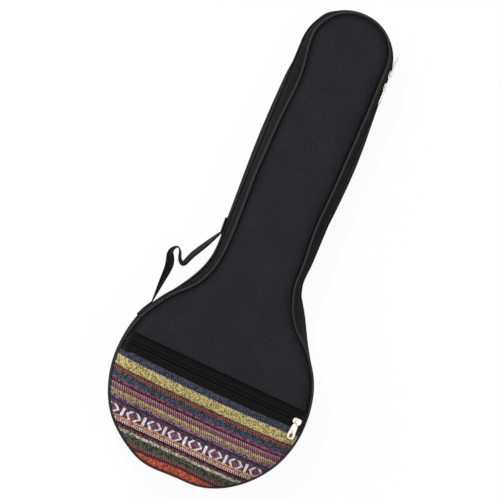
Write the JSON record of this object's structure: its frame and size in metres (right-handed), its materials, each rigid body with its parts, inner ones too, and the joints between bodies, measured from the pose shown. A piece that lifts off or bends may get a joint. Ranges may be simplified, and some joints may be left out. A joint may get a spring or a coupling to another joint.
{
  "type": "padded instrument bag",
  "caption": "Padded soft bag for a small round-bodied string instrument, with a zipped front half, a zipped woven pocket, a side handle and shoulder straps.",
  "frame": {"origin": "middle of the bounding box, on the surface that the bag's back lies on", "axes": "+Z out of the front of the bag, +Y towards the head end, +X to the right seen from the front"},
  "size_m": [0.2936, 0.7218, 0.1121],
  "materials": {
    "nylon_cloth": "matt black woven nylon",
    "woven_cloth": "warp-faced woven cloth in traditional stripes",
    "lining": "smooth dark grey lining",
    "foam": "closed foam sheet",
    "webbing": "black ribbed webbing",
    "piping": "black cord covered in satin cloth",
    "zip_tape": "black herringbone tape",
    "zip_coil": "black nylon coil",
    "nickel": "nickel-plated die casting",
    "buckle_plastic": "black moulded acetal"
  },
  "bodies": {
    "back_half": {"back_panel": "nylon_cloth", "back_foam": "foam", "back_lining": "lining", "rear_gusset": "nylon_cloth", "rear_gusset_foam": "foam", "rear_gusset_lining": "lining", "rear_piping": "piping", "rear_zip_tape": "zip_tape", "rear_zip_coil": "zip_coil", "zip_end_stops": "nickel", "rear_hinge_panel": "nylon_cloth", "side_handle": "webbing", "strap_yoke": "nylon_cloth", "strap_pad_left": "nylon_cloth", "strap_pad_right": "nylon_cloth", "ladder_lock_left": "buckle_plastic", "ladder_lock_right": "buckle_plastic", "lock_loop_left": "webbing", "lock_loop_right": "webbing", "strap_webbing_left": "webbing", "strap_webbing_right": "webbing", "strap_anchor_left": "nylon_cloth", "strap_anchor_right": "nylon_cloth"},
    "front_half": {"front_panel": "nylon_cloth", "front_foam": "foam", "front_lining": "lining", "front_gusset": "nylon_cloth", "front_gusset_foam": "foam", "front_gusset_lining": "lining", "front_piping": "piping", "front_zip_tape": "zip_tape", "front_zip_coil": "zip_coil", "front_hinge_panel": "nylon_cloth", "pocket_panel": "woven_cloth", "pocket_lining": "lining", "pocket_band": "nylon_cloth", "pocket_zip_tape": "zip_tape", "pocket_zip_coil": "zip_coil", "pocket_zip_stops": "nickel"},
    "upper_slider": {"upper_slider": "nickel"},
    "upper_pull": {"upper_pull": "nickel"},
    "lower_slider": {"lower_slider": "nickel"},
    "lower_pull": {"lower_pull": "nickel"},
    "pocket_slider": {"pocket_slider": "nickel"},
    "pocket_pull": {"pocket_pull": "nickel"}
  },
  "joints": [
    {"name": "front_opens", "type": "hinge", "parent": "back_half", "child": "front_half", "pos_m": [0, -0.3615, 0.069], "axis": [1, 0, 0], "range_deg": [0, 180]},
    {"name": "upper_slider_runs", "type": "hinge", "parent": "back_half", "child": "upper_slider", "pos_m": [0, 0.292, 0.069], "axis": [0, 0, 1], "range_deg": [0, 173]},
    {"name": "upper_pull_swings", "type": "hinge", "parent": "upper_slider", "child": "upper_pull", "pos_m": [0.06827, 0.29319, 0.06999], "axis": [0.2425, 0.0042, -0.9701], "range_deg": [0, 100]},
    {"name": "lower_slider_runs", "type": "slide", "parent": "back_half", "child": "lower_slider", "axis": [0, -1, 0], "range_m": [0, 0.27]},
    {"name": "lower_pull_swings", "type": "hinge", "parent": "lower_slider", "child": "lower_pull", "pos_m": [0.06828, 0.274, 0.06999], "axis": [-0.2425, 0, 0.9701], "range_deg": [0, 100]},
    {"name": "pocket_slider_runs", "type": "slide", "parent": "front_half", "child": "pocket_slider", "axis": [-0.9986, 0.0523, 0], "range_m": [0, 0.25]},
    {"name": "pocket_pull_swings", "type": "hinge", "parent": "pocket_slider", "child": "pocket_pull", "pos_m": [0.12875, -0.21474, 0.1098], "axis": [-0.9986, 0.0523, 0], "range_deg": [0, 175]}
  ]
}
